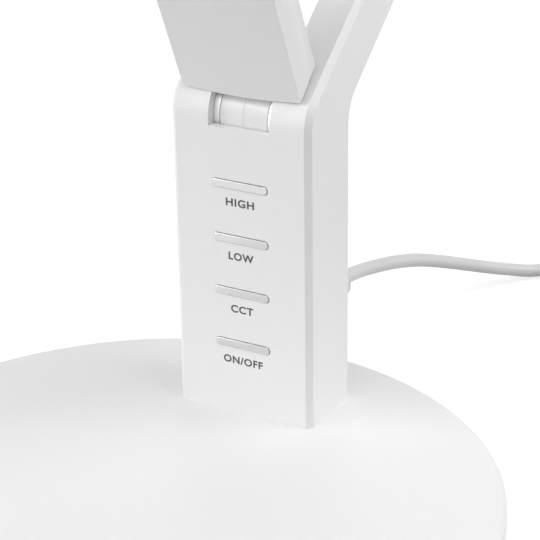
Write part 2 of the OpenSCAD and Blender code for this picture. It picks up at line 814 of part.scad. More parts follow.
// Side view of an ear: a disc round the head hinge, joined to the arm's front by a tangent line
module ear_profile() {
    eye = [-head_hinge_t, arm_len];
    foot = [-limb_front, arm_len - ear_reach];
    reach = eye - foot;
    swing = atan2(reach[1], reach[0]) + asin(ear_r / norm(reach));
    tangent = sqrt(reach * reach - ear_r * ear_r);
    intersection() {
        union() {
            translate(eye) circle(ear_r);
            polygon([foot, foot + tangent * [cos(swing), sin(swing)], eye, eye + [0, ear_r],
                [cut - limb_front, arm_top], [cut - limb_front, arm_len - ear_reach]]);
        }
        translate([-far, 0]) square([far + front_shell_t - limb_front, far]);
    }
}
module arm_slot() {
    translate([-slot_half, -far / 2, arm_len - ear_reach - cut / 2])
        cube([2 * slot_half, far / 2 + 0.5, far]);
}
module arm_front() color(WHITE) at_elbow() difference() {
    union() {
        front_shell(-limb_front, arm_top, arm_hollow_end);
        side_profile(limb_w / 2) ear_profile();
    }
    arm_slot();
    translate([0, -head_hinge_t, arm_len]) {
        x_cylinder(pin_r + running_gap, -pin_half, pin_half);
        translate([-pin_half, 0, -pin_r - running_gap])
            cube([2 * pin_half, limb_t, 2 * (pin_r + running_gap)]);
    }
}
module arm_back() color(WHITE) at_elbow() difference() {
    union() {
        back_shell(-limb_front, arm_top, arm_hollow_end);
        // Keepers of the head pin
        both_sides()
            translate([slot_half + 2, pin_r + running_gap - head_hinge_t, arm_len - pin_r + slide_gap])
                cube([3, head_hinge_t + 1 - pin_r, 2 * pin_r - 2 * slide_gap]);
    }
    arm_slot();
}

// Head hinge and light head
module at_head() at_hinge(head_hinge, head_lean) children();
module head_pin() at_hinge(head_hinge, 0) hinge_pin();
module head_washers() at_hinge(head_hinge, 0) hinge_washers(head_barrel_r);
module head_knuckle_right() at_head() knuckle_half(head_barrel_r, head_offset, offset_root);
module head_knuckle_left() at_head() mirror([1, 0, 0]) knuckle_half(head_barrel_r, head_offset, offset_root);
module head_neck_screws() at_head() neck_screws(head_offset);
module head_diffuser() color(OPAL) at_head() front_shell(head_offset, head_len, head_len);
module head_housing() color(WHITE) at_head() {
    back_shell(head_offset, head_len, head_len);
    board_ribs(head_offset, head_len);
}
module head_led_board() at_head() led_board(head_offset, head_len);

// Cord
module cord() color(OFF_WHITE) tube(ROUTE, cord_d / 2, cord_sides);
module cord_coil() color(OFF_WHITE) tube(coil_path, cord_d / 2, coil_sides);
module cord_tail() color(OFF_WHITE) tube([for (p = TAIL) tail_start + p], cord_d / 2, cord_sides);
module coil_tie() {
    x0 = coil_mid[0] + coil_in_r + coil_pitch / 2 - cord_d / 2 - tie_inner_gap;
    x1 = coil_mid[0] + coil_out_r - coil_pitch / 2 + cord_d / 2 + tie_gap;
    z0 = coil_mid[2] - cord_d / 2 - tie_gap;
    z1 = coil_mid[2] + coil_pitch + cord_d / 2 + tie_gap;
    color(DARK) translate([(x0 + x1) / 2, 0, (z0 + z1) / 2])
        front_profile(coil_mid[1] - tie_w / 2, coil_mid[1] + tie_w / 2) difference() {
            rounded_square(x1 - x0 + 2 * tie_t, z1 - z0 + 2 * tie_t, 2 + tie_t);
            rounded_square(x1 - x0, z1 - z0, 2);
        }
}
module plug() {
    color(OFF_WHITE) translate(plug_entry) {
        y_cylinder(plug_boot_r, 0, plug_boot_len + cut);
        translate([0, plug_boot_len, -plug_t / 2]) linear_extrude(plug_t) polygon([
            [-8, 0], [8, 0], [plug_w / 2, 14], [plug_w / 2, plug_len - 3], [plug_w / 2 - 3, plug_len],
            [3 - plug_w / 2, plug_len], [-plug_w / 2, plug_len - 3], [-plug_w / 2, 14]
        ]);
    }
}
module plug_pins() {
    color(STEEL) both_sides_of(plug_entry[0])
        translate(plug_entry + [plug_pin_spacing / 2, 0, 0])
            y_cylinder(plug_pin_r, plug_boot_len + plug_len, plug_boot_len + plug_len + plug_pin_len);
}
module both_sides_of(x) {
    children();
    translate([2 * x, 0, 0]) mirror([1, 0, 0]) children();
}

base_cover();
base_weight();
base_pad();
base_screws();
column_housing();
column_cover();
column_screws();
cover_screws();
control_board();
board_screws();
tact_switches();
driver_board();
cable_gland();
button_high();
button_low();
button_cct();
button_power();
plunger_high();
plunger_low();
plunger_cct();
plunger_power();
low_pin();
low_washers();
low_knuckle_left();
low_knuckle_right();
low_diffuser();
low_housing();
low_led_board();
low_neck_screws();
elbow_pin();
elbow_washers();
arm_knuckle_left();
arm_knuckle_right();
arm_front();
arm_back();
arm_neck_screws();
head_pin();
head_washers();
head_knuckle_left();
head_knuckle_right();
head_diffuser();
head_housing();
head_led_board();
head_neck_screws();
cord();
cord_coil();
coil_tie();
cord_tail();
plug();
plug_pins();
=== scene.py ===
"""Folding LED desk lamp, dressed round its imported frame.

The row frame is in metres: the origin is the middle of the base's underside, +Z is up, the
buttons look toward -Y and the mains cord leaves toward +Y. Each rigid node that shows gets a copy
with softened edges and a moulded or metal finish. The labels, the cord, the plug and its pins are
surfaces worked out here.
"""

import json
import math

import bmesh
import bpy
import numpy as np
from bpy.props import FloatProperty, FloatVectorProperty, IntProperty, PointerProperty
from mathutils import Matrix, Vector


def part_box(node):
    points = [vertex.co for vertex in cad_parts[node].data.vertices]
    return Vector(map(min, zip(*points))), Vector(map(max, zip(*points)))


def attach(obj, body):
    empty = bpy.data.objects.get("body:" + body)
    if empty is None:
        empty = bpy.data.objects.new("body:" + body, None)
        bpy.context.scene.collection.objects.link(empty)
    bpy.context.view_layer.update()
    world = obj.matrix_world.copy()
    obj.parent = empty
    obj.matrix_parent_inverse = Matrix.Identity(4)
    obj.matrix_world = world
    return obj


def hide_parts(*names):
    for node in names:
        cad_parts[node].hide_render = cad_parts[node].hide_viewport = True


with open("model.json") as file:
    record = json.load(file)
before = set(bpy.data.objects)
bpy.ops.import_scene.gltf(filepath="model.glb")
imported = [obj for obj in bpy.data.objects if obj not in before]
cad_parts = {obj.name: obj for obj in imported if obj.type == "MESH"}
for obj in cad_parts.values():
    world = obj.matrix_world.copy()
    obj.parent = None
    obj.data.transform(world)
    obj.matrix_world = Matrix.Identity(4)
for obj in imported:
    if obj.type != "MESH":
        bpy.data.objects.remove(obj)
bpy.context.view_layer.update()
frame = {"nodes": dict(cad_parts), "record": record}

bl_info = {
    "name": "Folding LED desk lamp",
    "version": (1, 0, 0),
    "blender": (4, 5, 0),
    "location": "View3D > Sidebar > Lamp",
    "description": "Dresses the packed folding desk lamp and sets its studio",
    "category": "Add Mesh",
}

MM = 0.001
# Distances within which doubles are merged: in a CAD node's copy, and in a surface made here
CAD_MERGE = 2e-6
OWN_MERGE = 1e-7
# Degrees: flat enough to dissolve, sharp enough to be rounded, and shaded smooth
FLAT_ANGLE = 0.4
ROUNDED_ANGLE = 32
SMOOTH_ANGLE = 35.0
# Points round the cord, the plug and a pin, and rings in a turn of the coil
CORD_SIDES = 20
PLUG_SIDES = 72
PIN_SIDES = 32
COIL_RINGS = 48
# Button, word under it and the word's width in millimetres
WORDS = (
    ("high", "HIGH", 10.3),
    ("low", "LOW", 9.2),
    ("cct", "CCT", 8.3),
    ("power", "ON/OFF", 14.7),
)
# Bevel of a barrel half in the frame and as shown, how near a point counts as on the bevel and on
# the meeting face, and a radius between the pin's bore and the barrel
BARREL_EDGE = 0.4 * MM
SEAM_EDGE = 0.12 * MM
SEAM_MATCH = 1e-5
FACE_MATCH = 1e-6
BEYOND_BORE = 0.005
# Middle of the light, distance of the softboxes from it, and half the floor's width
FOCUS = Vector((0.0, 0.03, 0.12))
LIGHT_DISTANCE = 1.5
FLOOR_HALF = 4.0
# Softboxes round the lamp: name, direction from the lamp, side in metres, power in watts
SOFTBOXES = (
    ("front_top_light", (0.02, -0.75, 0.9), 1.2, 7.6),
    ("right_top_light", (0.8, 0.02, 0.9), 1.2, 10.1),
    ("back_top_light", (0.02, 0.8, 0.9), 1.2, 3.4),
    ("left_front_light", (-0.8, -0.65, 0.3), 1.0, 14.7),
    ("left_back_light", (-0.7, 0.7, 0.35), 1.0, 1.8),
    ("right_back_light", (0.8, 0.55, 0.35), 1.0, 8.6),
)


# Property groups

class LampFinishes(bpy.types.PropertyGroup):
    """Colours and softness of the lamp's surfaces."""

    white: FloatVectorProperty(
        name="White plastic", description="Colour of the moulded housings",
        subtype="COLOR", size=4, default=(0.86, 0.86, 0.86, 1.0))
    opal: FloatVectorProperty(
        name="Opal plastic", description="Colour of the diffusers",
        subtype="COLOR", size=4, default=(0.85, 0.85, 0.85, 1.0))
    plated: FloatVectorProperty(
        name="Plated buttons", description="Colour of the buttons' plating",
        subtype="COLOR", size=4, default=(0.64, 0.64, 0.64, 1.0))
    steel: FloatVectorProperty(
        name="Steel", description="Colour of screws, pins and weight",
        subtype="COLOR", size=4, default=(0.52, 0.53, 0.55, 1.0))
    washer: FloatVectorProperty(
        name="Washers", description="Colour of the hinge washers",
        subtype="COLOR", size=4, default=(0.9, 0.9, 0.9, 1.0))
    cord: FloatVectorProperty(
        name="Cord", description="Colour of the cord's sheath and the plug",
        subtype="COLOR", size=4, default=(0.69, 0.69, 0.69, 1.0))
    ink: FloatVectorProperty(
        name="Ink", description="Colour of the printed labels",
        subtype="COLOR", size=4, default=(0.075, 0.075, 0.078, 1.0))
    pad: FloatVectorProperty(
        name="Pad", description="Colour of the anti-slip pad and the tie",
        subtype="COLOR", size=4, default=(0.03, 0.03, 0.032, 1.0))
    board: FloatVectorProperty(
        name="Boards", description="Colour of the circuit boards",
        subtype="COLOR", size=4, default=(0.03, 0.16, 0.07, 1.0))
    soft_edge: FloatProperty(
        name="Soft edge", description="Rounding of a plain moulded edge",
        subtype="DISTANCE", unit="LENGTH", default=0.0003, min=0.0, max=0.001, precision=5)


class LampLabels(bpy.types.PropertyGroup):
    """Sizes of the printed labels."""

    cap_height: FloatProperty(
        name="Cap height", description="Height of a capital letter",
        subtype="DISTANCE", unit="LENGTH", default=0.0027, min=0.001, max=0.005, precision=5)
    drop: FloatProperty(
        name="Drop", description="Middle of a label below the middle of its button",
        subtype="DISTANCE", unit="LENGTH", default=0.00585, min=0.003, max=0.01, precision=5)
    ink_depth: FloatProperty(
        name="Ink depth", description="Thickness of the print on the column",
        subtype="DISTANCE", unit="LENGTH", default=0.00003, min=0.00001, max=0.0002, precision=6)
    boldness: FloatProperty(
        name="Boldness", description="Thickening of the letters, as a share of their size",
        default=0.028, min=0.0, max=0.05)
    spacing: FloatProperty(
        name="Spacing", description="Letter spacing", default=1.12, min=0.8, max=1.4)


class LampCord(bpy.types.PropertyGroup):
    """Sizes of the mains cord and its coil."""

    diameter: FloatProperty(
        name="Diameter", description="Diameter of the cord",
        subtype="DISTANCE", unit="LENGTH", default=0.0051, min=0.004, max=0.006, precision=5)
    pitch: FloatProperty(
        name="Pitch", description="Spacing of the coil's turns and layers",
        subtype="DISTANCE", unit="LENGTH", default=0.0057, min=0.0052, max=0.007, precision=5)
    turns: IntProperty(
        name="Turns", description="Turns in each of the coil's two layers",
        default=4, min=1, max=8)
    mean_diameter: FloatProperty(
        name="Coil", description="Mean diameter of the coil",
        subtype="DISTANCE", unit="LENGTH", default=0.061, min=0.04, max=0.09, precision=4)


class LampStudio(bpy.types.PropertyGroup):
    """Camera, floor and lamps of the studio."""

    camera_place: FloatVectorProperty(
        name="Camera", description="Where the camera stands",
        subtype="TRANSLATION", size=3, default=(0.27756, -0.41408, 0.30842))
    camera_look: FloatVectorProperty(
        name="Look", description="Direction in which the camera looks",
        subtype="DIRECTION", size=3, default=(-0.45339, 0.79746, -0.39811))
    camera_roll: FloatProperty(
        name="Roll", description="Turn of the camera about its own view",
        subtype="ANGLE", unit="ROTATION", default=math.radians(-0.83))
    lens: FloatProperty(
        name="Lens", description="Focal length in millimetres", default=123.67, min=20, max=300)
    level: FloatProperty(
        name="Level", description="Factor on the power of every softbox", default=1.0, min=0.0)
    sky: FloatProperty(
        name="Sky", description="Strength of the even light from all round", default=0.03, min=0.0)
    paper: FloatProperty(
        name="Paper", description="Glow added to the lit floor, up to white, where it is seen",
        default=0.66, min=0.0)
    floor: FloatVectorProperty(
        name="Floor", description="Colour of the floor",
        subtype="COLOR", size=4, default=(0.45, 0.45, 0.45, 1.0))
    shadow_reach: FloatProperty(
        name="Shadow reach", description="Distance at which the floor is plain white",
        subtype="DISTANCE", unit="LENGTH", default=1.1, min=0.5, max=3.0)


# Shader maths

class Wire:
    """A number socket of a finish. Arithmetic on wires adds Math nodes."""

    def __init__(self, finish, socket):
        self.finish = finish
        self.socket = socket

    def math(self, operation, *inputs):
        """A Math node on these wires or numbers."""
        sockets = dict(enumerate(inputs))
        made = self.finish.node("ShaderNodeMath", {"operation": operation}, sockets)
        return self.finish.out(made, 0)

    def __add__(self, other):
        return self.math("ADD", self, other)

    def __radd__(self, other):
        return self.math("ADD", other, self)

    def __sub__(self, other):
        return self.math("SUBTRACT", self, other)

    def __rsub__(self, other):
        return self.math("SUBTRACT", other, self)

    def __mul__(self, other):
        return self.math("MULTIPLY", self, other)

    def __rmul__(self, other):
        return self.math("MULTIPLY", other, self)


class Finish:
    """A material or the sky being made: its nodes, and the one method that adds a node."""

    def __init__(self, owner, shader="Principled BSDF"):
        owner.use_nodes = True
        self.material = owner
        self.tree = owner.node_tree
        self.shader = self.tree.nodes[shader]

    def node(self, kind, settings=None, inputs=None):
        """Adds a node of this type: its settings first, then its sockets' values or links."""
        made = self.tree.nodes.new(kind)
        for name, value in (settings or {}).items():
            setattr(made, name, value)
        for name, value in (inputs or {}).items():
            self.feed(made.inputs[name], value)
        return made

    def feed(self, socket, value):
        """Links a wire to a socket, or sets the socket to a plain value."""
        if isinstance(value, Wire):
            self.tree.links.new(value.socket, socket)
        else:
            socket.default_value = value

    def out(self, node, output):
        """The wire that leaves a node."""
        return Wire(self, node.outputs[output])

    def surface(self, **sockets):
        """Links what varies to the shader's sockets, and sets those that are the same all over."""
        for name, value in sockets.items():
            self.feed(self.shader.inputs[name.replace("_", " ")], value)

    def seen(self):
        """1 for rays that look at the background: from the camera, mirrored or through glass."""
        rays = self.node("ShaderNodeLightPath")
        return self.out(rays, "Is Camera Ray") + self.out(rays, "Is Glossy Ray") + self.out(
            rays, "Is Transmission Ray")

    def place(self, stretch=(1, 1, 1)):
        """Object coordinates in metres, stretched along the axes."""
        coordinates = self.out(self.node("ShaderNodeTexCoord"), "Object")
        made = self.node("ShaderNodeMapping", inputs={"Vector": coordinates, "Scale": stretch})
        return self.out(made, "Vector")

    def noise(self, vector, per_metre, detail=2.0, roughness=0.5):
        """Cloudy noise from 0 to 1 with this many features per metre."""
        made = self.node("ShaderNodeTexNoise", inputs={
            "Vector": vector, "Scale": per_metre, "Detail": detail, "Roughness": roughness})
        return self.out(made, 0)

    def mottled(self, share, colour, dark, light):
        """The colour made darker where share is 0 and lighter where it is 1, by these factors."""
        made = self.node("ShaderNodeMix", {"data_type": "RGBA"}, {
            0: share, 6: shade(colour, dark), 7: shade(colour, light)})
        return self.out(made, 2)

    def bump(self, height, depth):
        """Normal of a surface raised by height, 0 to 1, times depth in metres."""
        made = self.node("ShaderNodeBump", inputs={"Height": height, "Distance": depth})
        return self.out(made, "Normal")


def shade(colour, factor):
    """The colour made darker or lighter by a factor."""
    return tuple(min(1.0, c * factor) for c in colour[:3]) + (1.0,)


def moulded_plastic(name, colour, roughness, grain_depth, grain_per_metre=3200):
    """Injection-moulded plastic: spark-eroded grain, faint flow clouds in colour and gloss."""
    finish = Finish(bpy.data.materials.new(name))
    place = finish.place()
    clouds = finish.noise(place, 22, 3)
    grain = finish.noise(place, grain_per_metre, 3, 0.6)
    finish.surface(
        Base_Color=finish.mottled(clouds, colour, 0.985, 1.012),
        Roughness=(grain - 0.5) * 0.10 + (clouds * 0.05 + (roughness - 0.025)),
        Normal=finish.bump(grain, grain_depth),
        IOR=1.5)
    return finish.material


def opal_plastic(name, colour):
    """Milky diffuser plastic: satin, with a faint body cloud and a finer grain."""
    finish = Finish(bpy.data.materials.new(name))
    place = finish.place()
    clouds = finish.noise(place, 35, 2)
    grain = finish.noise(place, 4200, 2)
    finish.surface(
        Base_Color=finish.mottled(clouds, colour, 0.99, 1.01),
        Roughness=grain * 0.06 + 0.38,
        Normal=finish.bump(grain, 4e-6),
        IOR=1.49)
    return finish.material


def plated_plastic(name, colour):
    """Bright plating on a moulded button: a mirror with a faint orange-peel."""
    finish = Finish(bpy.data.materials.new(name))
    place = finish.place()
    peel = finish.noise(place, 420, 2)
    haze = finish.noise(place, 90, 2)
    finish.surface(
        Base_Color=finish.mottled(haze, colour, 0.97, 1.02),
        Roughness=haze * 0.02 + 0.06,
        Normal=finish.bump(peel, 1e-6),
        Metallic=1.0)
    return finish.material


def worked_metal(name, colour, roughness, stretch):
    """Turned or ground metal: fine lines across one axis, with small changes of gloss and tone."""
    finish = Finish(bpy.data.materials.new(name))
    lines = finish.noise(finish.place(stretch), 900, 4, 0.6)
    clouds = finish.noise(finish.place(), 60, 3)
    finish.surface(
        Base_Color=finish.mottled(clouds, colour, 0.9, 1.06),
        Roughness=lines * 0.16 + (roughness - 0.08),
        Normal=finish.bump(lines, 1.2e-5),
        Metallic=1.0)
    return finish.material


def soft_rubber(name, colour, roughness, grain_depth):
    """Rubber or soft sheath: matt, with a fine grain and a dusty bloom."""
    finish = Finish(bpy.data.materials.new(name))
    place = finish.place()
    bloom = finish.noise(place, 55, 4, 0.6)
    grain = finish.noise(place, 2400, 3, 0.6)
    finish.surface(
        Base_Color=finish.mottled(bloom, colour, 0.94, 1.05),
        Roughness=bloom * 0.12 + (roughness - 0.06),
        Normal=finish.bump(grain, grain_depth))
    return finish.material


def printed_ink(name, colour):
    """Pad-printed ink: flat, with the screen's faint mottle."""
    finish = Finish(bpy.data.materials.new(name))
    mottle = finish.noise(finish.place(), 3000, 2)
    finish.surface(
        Base_Color=finish.mottled(mottle, colour, 0.85, 1.2),
        Roughness=mottle * 0.1 + 0.5)
    return finish.material


def circuit_board(name, colour):
    """Solder mask over copper: tracks show as slightly lighter, raised lines."""
    finish = Finish(bpy.data.materials.new(name))
    place = finish.place()
    tracks = finish.out(finish.node("ShaderNodeTexBrick", {"offset": 0.5}, {
        "Vector": place, "Scale": 160.0, "Mortar Size": 0.06, "Color1": (0, 0, 0, 1),
        "Color2": (0, 0, 0, 1), "Mortar": (1, 1, 1, 1)}), 1)
    clouds = finish.noise(place, 80, 2)
    finish.surface(
        Base_Color=finish.mottled(tracks, colour, 1.0, 1.9),
        Roughness=clouds * 0.1 + 0.3,
        Normal=finish.bump(tracks, 3e-5))
    return finish.material


WHITE = (1, 1, 1, 1)
DARK_PLASTIC = (0.035, 0.035, 0.037, 1.0)
NICKEL = (0.62, 0.58, 0.5, 1.0)
MATERIALS = {}


# Meshes

SLOT_OF = {row["node"]: row["material_slot"] for row in frame["record"]["subparts"]}
BODY_OF = {
    node: body
    for body, nodes in frame["record"]["behaviour"]["bodies"].items()
    for node in nodes
}


def new_object(name, mesh, material, body, smooth_angle=SMOOTH_ANGLE):
    """A piece at the origin with this mesh, shaded smooth up to an angle, riding on a body."""
    mesh.polygons.foreach_set("use_smooth", np.ones(len(mesh.polygons), dtype=bool))
    mesh.set_sharp_from_angle(angle=math.radians(smooth_angle))
    mesh.materials.clear()
    mesh.materials.append(MATERIALS[material])
    made = bpy.data.objects.new(name, mesh)
    bpy.context.scene.collection.objects.link(made)
    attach(made, body)
    return made


def soften(piece, width, segments=2):
    """Rounds a piece's sharp edges by a small width."""
    edge = piece.modifiers.new("soft_edge", "BEVEL")
    edge.width = width
    edge.segments = segments
    edge.limit_method = "ANGLE"
    edge.angle_limit = math.radians(ROUNDED_ANGLE)
    edge.use_clamp_overlap = True
    edge.harden_normals = True
    edge.miter_outer = "MITER_ARC"


def finished_node(node, width=None, segments=2, material=None, reshape=None):
    """A softened copy of a CAD node, merged and perhaps reshaped, that stands for the node."""
    mesh = frame["nodes"][node].data.copy()
    mesh.name = f"{node}_form"
    form = bmesh.new()
    form.from_mesh(mesh)
    bmesh.ops.remove_doubles(form, verts=form.verts, dist=CAD_MERGE)
    bmesh.ops.dissolve_limit(
        form, angle_limit=math.radians(FLAT_ANGLE), verts=form.verts, edges=form.edges)
    form.to_mesh(mesh)
    form.free()
    if reshape is not None:
        points = np.zeros(len(mesh.vertices) * 3)
        mesh.vertices.foreach_get("co", points)
        mesh.vertices.foreach_set("co", reshape(points.reshape(-1, 3)).ravel())
        mesh.update()
    piece = new_object(f"{node}_finished", mesh, material or SLOT_OF[node], BODY_OF[node])
    if width is None:
        width = bpy.context.scene.lamp_finishes.soft_edge
    if width > 0:
        soften(piece, width, segments)
    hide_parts(node)
    return piece


def dress_node(node):
    """A CAD node that stays as it is, with its finish."""
    mesh = frame["nodes"][node].data
    mesh.materials.clear()
    mesh.materials.append(MATERIALS[SLOT_OF[node]])


def lofted(name, rings, material, body, smooth_angle=SMOOTH_ANGLE):
    """Closed skin over rings: row i of the grid is ring i, and its points run round.

    The two ends are capped. A ring whose points fall together becomes a pole when doubles are
    merged.
    """
    rings = np.asarray(rings, dtype=float)
    rows, columns = rings.shape[:2]
    row, column = np.meshgrid(np.arange(rows - 1), np.arange(columns), indexing="ij")
    after = (column + 1) % columns
    quads = np.stack([row * columns + column, row * columns + after, (row + 1) * columns + after,
                      (row + 1) * columns + column], axis=-1).reshape(-1, 4)
    first = list(range(columns))[::-1]
    last = [(rows - 1) * columns + i for i in range(columns)]
    mesh = bpy.data.meshes.new(f"{name}_form")
    mesh.from_pydata(rings.reshape(-1, 3).tolist(), [], quads.tolist() + [first, last])
    form = bmesh.new()
    form.from_mesh(mesh)
    bmesh.ops.remove_doubles(form, verts=form.verts, dist=OWN_MERGE)
    bmesh.ops.recalc_face_normals(form, faces=form.faces)
    form.to_mesh(mesh)
    form.free()
    return new_object(name, mesh, material, body, smooth_angle)


def arc(centre, radius, start, end, count):
    """Points of a profile along a circle: centre + radius * (cos t, sin t), angles in degrees."""
    t = np.radians(np.linspace(start, end, count))
    return [(centre[0] + radius * math.cos(a), centre[1] + radius * math.sin(a)) for a in t]


def revolved_rings(profile, middle, axis, sides):
    """Rings of a turned form, with u and v square to the axis and to each other.

    A profile point (r, h) becomes middle + h * axis + r * (cos t * u + sin t * v).
    """
    axis = np.asarray(axis, dtype=float)
    u = np.cross(axis, (0.0, 0.0, 1.0) if abs(axis[2]) < 0.9 else (1.0, 0.0, 0.0))
    u = u / np.linalg.norm(u)
    v = np.cross(axis, u)
    t = np.arange(sides) * 2 * math.pi / sides
    r, h = np.asarray(profile, dtype=float).T
    spokes = np.cos(t)[:, None] * u + np.sin(t)[:, None] * v
    return np.asarray(middle) + h[:, None, None] * axis + r[:, None, None] * spokes[None, :, :]


# Cord: points of the free run, and of the tail from the coil's end, in millimetres

ROUTE = [
    (0, 123, 41), (0, 128, 41), (0, 138, 39.4), (0.5, 150, 36.8), (2, 165, 33.3), (4.5, 180, 29),
    (8, 195, 23.4), (12, 210, 17.2), (17, 225, 11), (21, 236, 6.8), (25, 244, 4), (29, 251, 2.7),
    (34, 260, 2.6), (38, 269, 3.2), (40, 277, 3.8), (40, 283, 3.8),
]
TAIL = [
    (0, 0, 0), (0, 6, 0), (1, 16, -0.6), (3, 26, -1.8), (5, 35, -2.4), (6, 43, -2.5),
    (6, 49, -2.5),
]


def smooth_line(points, steps):
    """Catmull-Rom curve through the points, with this many steps a span."""
    p = np.asarray(points, dtype=float)
    p = np.vstack([2 * p[0] - p[1], p, 2 * p[-1] - p[-2]])
    t = (np.arange(steps) / steps)[None, :, None]
    a, b, c, d = (p[i:len(p) - 3 + i, None, :] for i in range(4))
    square, cube = 2 * a - 5 * b + 4 * c - d, 3 * b - a - 3 * c + d
    spans = 0.5 * (2 * b + (c - a) * t + square * t**2 + cube * t**3)
    return np.vstack([spans.reshape(-1, 3), p[-2]])


def coil_line(start, settings):
    """Coil of two layers: r falls by a pitch a turn, then grows again one pitch higher."""
    turns, pitch, d = settings.turns, settings.pitch, settings.diameter
    outer = settings.mean_diameter / 2 + turns * pitch / 2
    inner = settings.mean_diameter / 2 - turns * pitch / 2
    middle = np.asarray(start) + (outer, d, 0)
    turn = np.arange(2 * turns * COIL_RINGS + 1) / COIL_RINGS
    r = np.where(turn <= turns, outer - pitch * turn, inner + pitch * (turn - turns))
    rise = pitch * np.clip(2 * (turn - turns) + 0.5, 0, 1)
    t = 2 * math.pi * turn
    coil = middle + np.stack([-r * np.cos(t), r * np.sin(t), rise], axis=-1)
    end = middle + (-outer, d, pitch)
    return coil, end


def cord_line(settings):
    """The cord's whole centre line in metres: free run, coil, and tail to the plug."""
    run = smooth_line(np.array(ROUTE) * MM, 4)
    coil, end = coil_line(np.array(ROUTE[-1]) * MM, settings)
    tail = smooth_line(end + np.array(TAIL) * MM, 4)
    return np.vstack([run, coil, tail])


def tube_rings(path, radius, sides):
    """Rings along a path: each is square to the path, with its first spoke level."""
    ahead = np.gradient(path, axis=0)
    ahead /= np.linalg.norm(ahead, axis=1)[:, None]
    side = np.cross(ahead, (0.0, 0.0, 1.0))
    side /= np.linalg.norm(side, axis=1)[:, None]
    up = np.cross(side, ahead)
    t = (np.arange(sides) * 2 * math.pi / sides)[None, :, None]
    return path[:, None, :] + radius * (np.cos(t) * side[:, None, :] + np.sin(t) * up[:, None, :])


# Operators

class LAMP_OT_finishes(bpy.types.Operator):
    """Makes every finish of the lamp, by the record's slot and by use"""

    bl_idname = "lamp.finishes"
    bl_label = "Finishes"

    def execute(self, context):
        colours = context.scene.lamp_finishes
        MATERIALS.update({
            "white_plastic": moulded_plastic("white_plastic", colours.white, 0.42, 6e-6),
            "gloss_plastic": moulded_plastic("gloss_plastic", colours.white, 0.16, 1.5e-6, 1500),
            "opal_plastic": opal_plastic("opal_plastic", colours.opal),
            "button_plastic": plated_plastic("plated_button", colours.plated),
            "dark_plastic": moulded_plastic("dark_plastic", DARK_PLASTIC, 0.5, 6e-6),
            "steel": worked_metal("ground_steel", colours.steel, 0.36, (0.12, 1, 1)),
            "bright_steel": worked_metal("washer_steel", colours.washer, 0.42, (0.1, 1, 1)),
            "pad_rubber": soft_rubber("pad_rubber", colours.pad, 0.85, 4e-5),
            "cord_rubber": soft_rubber("cord_sheath", colours.cord, 0.34, 3e-6),
            "tie_rubber": soft_rubber("tie_rubber", colours.pad, 0.7, 1e-5),
            "pin_brass": worked_metal("pin_nickel", NICKEL, 0.25, (1, 0.1, 1)),
            "circuit_board": circuit_board("circuit_board", colours.board),
            "ink": printed_ink("label_ink", colours.ink),
        })
        return {"FINISHED"}


class LAMP_OT_camera(bpy.types.Operator):
    """Sets the camera at the photograph's angle"""

    bl_idname = "lamp.camera"
    bl_label = "Camera"

    def execute(self, context):
        studio = context.scene.lamp_studio
        look = Vector(studio.camera_look).normalized()
        right = look.cross(Vector((0, 0, 1))).normalized()
        up = right.cross(look)
        turn = studio.camera_roll
        level = right * math.cos(turn) + up * math.sin(turn)
        above = -right * math.sin(turn) + up * math.cos(turn)
        data = bpy.data.cameras.new("camera")
        data.lens = studio.lens
        data.sensor_width = 36.0
        data.clip_start = 0.01
        data.clip_end = 50.0
        camera = bpy.data.objects.new("camera", data)
        camera.matrix_world = Matrix.Translation(studio.camera_place) @ Matrix(
            (level, above, -look)).transposed().to_4x4()
        context.scene.collection.objects.link(camera)
        context.scene.camera = camera
        return {"FINISHED"}


